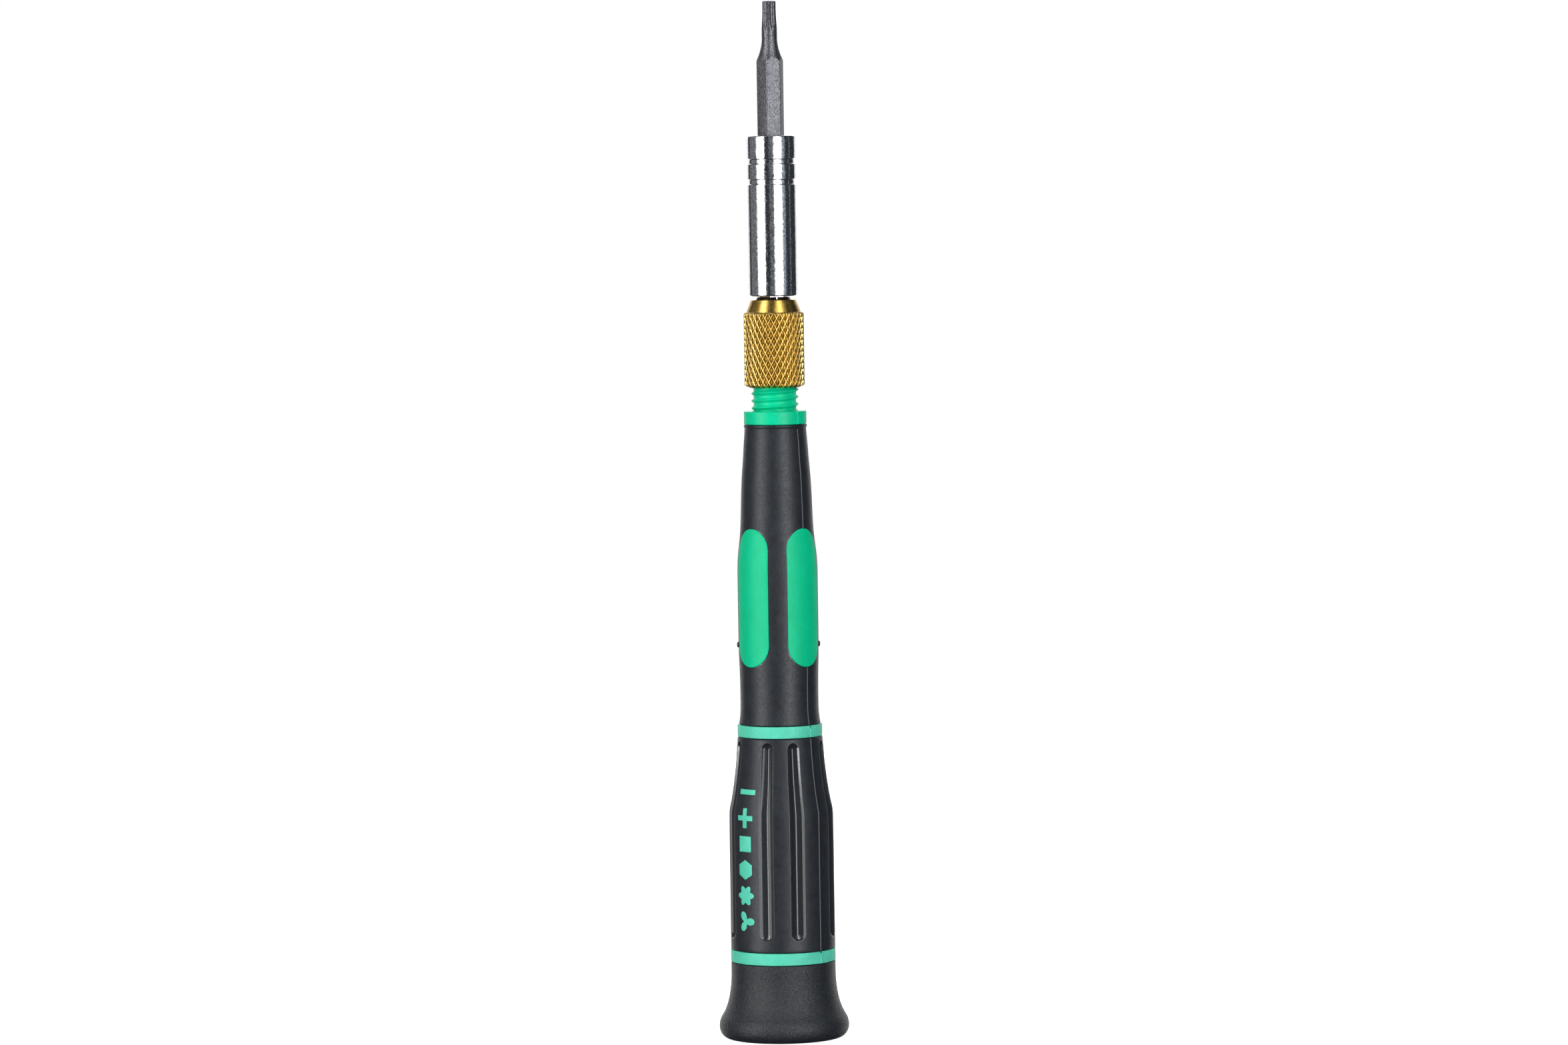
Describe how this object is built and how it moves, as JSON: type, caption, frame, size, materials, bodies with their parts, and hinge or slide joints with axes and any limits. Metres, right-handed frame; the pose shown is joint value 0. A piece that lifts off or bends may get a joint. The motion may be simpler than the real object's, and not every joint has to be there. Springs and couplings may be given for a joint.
{
  "type": "watchmaker screwdriver",
  "caption": "Slim precision screwdriver with a swivel cap, two-tone moulded grip and a knurled collet nut that clamps a magnetic holder for small hex-shank bits.",
  "frame": {"origin": "centre of the swivel cap's flat end, on the tool's axis", "axes": "+Z along the tool's axis from the cap to the bit's tip; -Y is the front, a black strip between two green pads"},
  "size_m": [0.0216, 0.0216, 0.1723],
  "materials": {
    "green_plastic": "satin injection-moulded hard plastic, jade green",
    "black_rubber": "fine-grained soft overmould, charcoal black",
    "cap_plastic": "coarse spark-eroded grain, charcoal black",
    "brass": "turned and diamond-knurled, bright",
    "chrome": "polished chrome plate",
    "bit_steel": "sand-blasted tool steel, dull grey",
    "dark_steel": "blackened spring steel, turned",
    "bright_steel": "drawn bright steel",
    "magnet_nickel": "nickel-plated magnet",
    "zinc_steel": "zinc-plated steel",
    "nylon": "natural nylon"
  },
  "bodies": {
    "handle": {"handle_core": "green_plastic", "upper_grip": "black_rubber", "lower_grip": "black_rubber", "nose_bush": "brass", "pivot_screw": "zinc_steel", "pivot_insert": "brass", "screw_washer": "zinc_steel", "thrust_washer": "nylon"},
    "cap": {"swivel_cap": "cap_plastic", "cap_end_disc": "cap_plastic"},
    "collet": {"collet": "dark_steel"},
    "nut": {"collet_nut": "brass"},
    "holder": {"holder_sleeve": "chrome", "holder_shank": "bright_steel", "holder_magnet": "magnet_nickel"},
    "bit": {"bit": "bit_steel"}
  },
  "joints": [
    {"name": "cap_swivel", "type": "hinge", "parent": "handle", "child": "cap", "pos_m": [0, 0, 0], "axis": [0, 0, 1], "continuous": true},
    {"name": "collet_travel", "type": "slide", "parent": "handle", "child": "collet", "axis": [0, 0, 1], "range_m": [0, 0.0024]},
    {"name": "nut_turn", "type": "hinge", "parent": "collet", "child": "nut", "pos_m": [0, 0, 0.1157], "axis": [0, 0, 1], "range_deg": [0, 720]},
    {"name": "holder_pull", "type": "slide", "parent": "collet", "child": "holder", "axis": [0, 0, 1], "range_m": [0, 0.034]},
    {"name": "bit_pull", "type": "slide", "parent": "holder", "child": "bit", "axis": [0, 0, 1], "range_m": [0, 0.0065]}
  ],
  "couplings": [
    {"joint": "nut_turn", "follows": "collet_travel", "rad_per_m": 5236}
  ]
}
